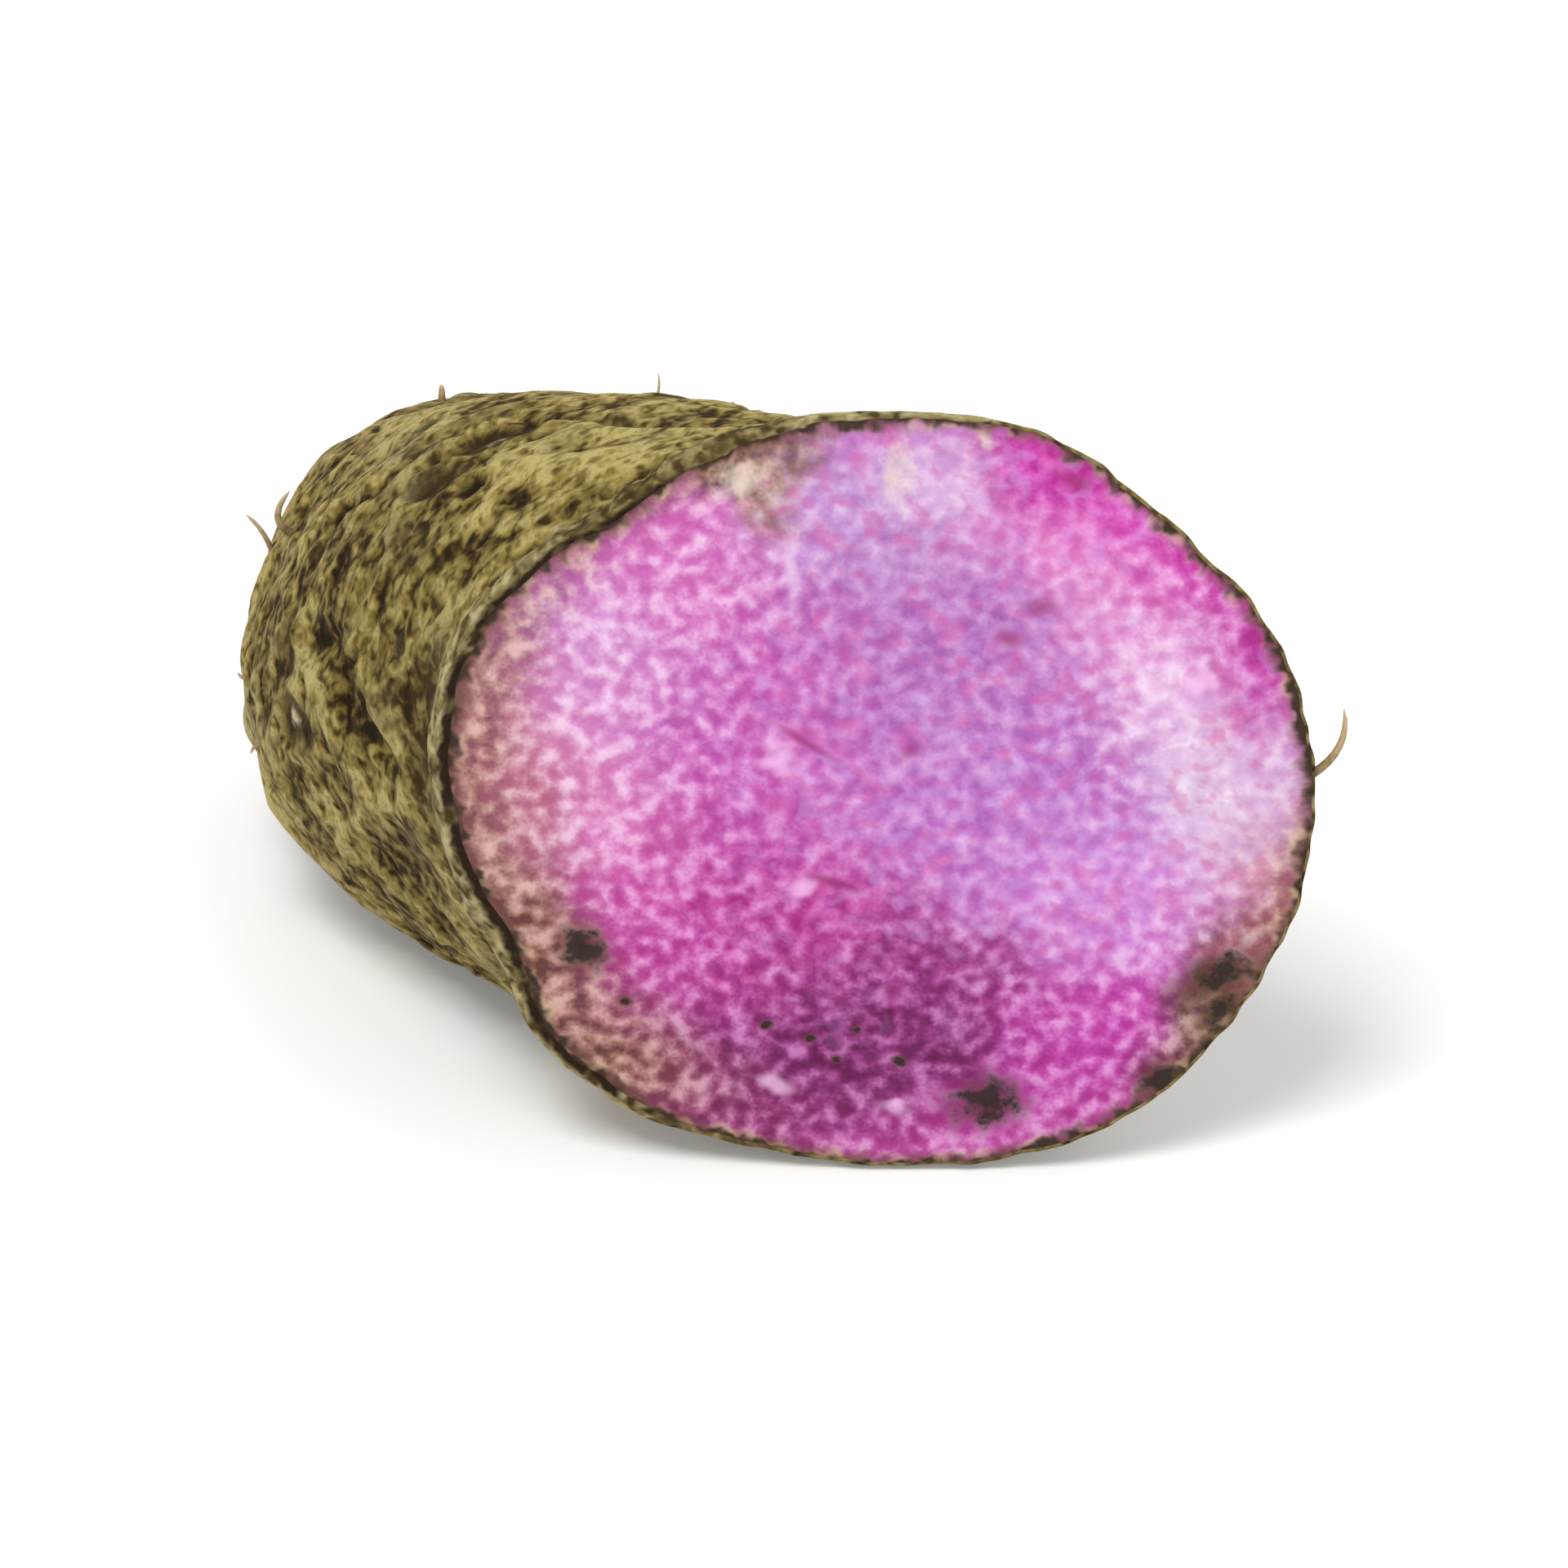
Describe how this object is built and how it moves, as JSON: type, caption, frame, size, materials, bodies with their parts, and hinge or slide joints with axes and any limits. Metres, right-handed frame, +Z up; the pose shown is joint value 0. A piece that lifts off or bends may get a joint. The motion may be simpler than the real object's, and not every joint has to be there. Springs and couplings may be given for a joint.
{
  "type": "cut purple yam",
  "caption": "End piece of a purple yam tuber lying on its side: blunt rounded end with rough brown skin, flat purple cut face.",
  "frame": {"origin": "middle of the footprint, on the surface that the yam lies on", "axes": "+Z up, -Y straight out of the cut face, +X to the right of someone who looks at the cut face; the rounded end lies towards +Y and -X"},
  "size_m": [0.105, 0.09, 0.0808],
  "materials": {
    "skin": "matte"
  },
  "bodies": {
    "root": {"yam": "skin"}
  },
  "joints": []
}
